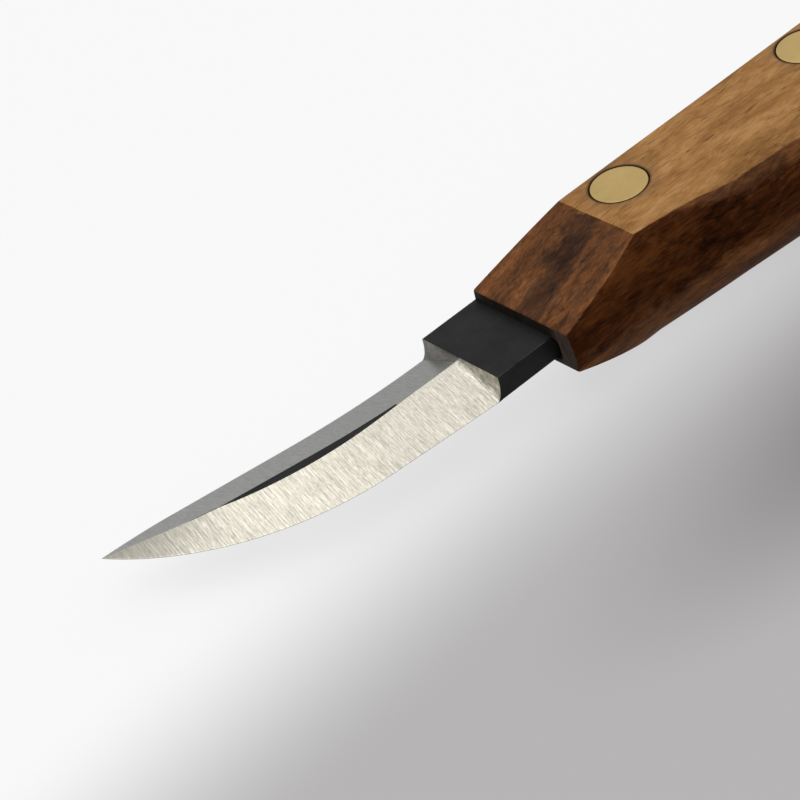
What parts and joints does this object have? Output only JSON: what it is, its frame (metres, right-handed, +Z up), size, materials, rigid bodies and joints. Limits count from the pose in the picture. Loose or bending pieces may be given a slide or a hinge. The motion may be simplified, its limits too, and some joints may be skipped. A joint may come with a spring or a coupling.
{
  "type": "wood carving knife",
  "caption": "Small carving knife: upswept steel blade with ground bevels and black ricasso, its tang riveted with brass into a slotted wooden handle.",
  "frame": {"origin": "on the surface the knife lies on, under the middle of its bounding box", "axes": "+X along the bar towards the tip, +Y towards the cutting edge, +Z up, out of the handle's upper flat"},
  "size_m": [0.1688, 0.0284, 0.0144],
  "materials": {
    "blade_steel": "bevels ground across with a fine grit, other faces black oxide",
    "handle_wood": "figured brown hardwood, satin oil",
    "rivet_brass": "sanded flush, satin"
  },
  "bodies": {
    "root": {"blade": "blade_steel", "handle": "handle_wood", "front_rivet_socket": "rivet_brass", "front_rivet_stud": "rivet_brass", "middle_rivet_socket": "rivet_brass", "middle_rivet_stud": "rivet_brass", "rear_rivet_socket": "rivet_brass", "rear_rivet_stud": "rivet_brass"}
  },
  "joints": []
}
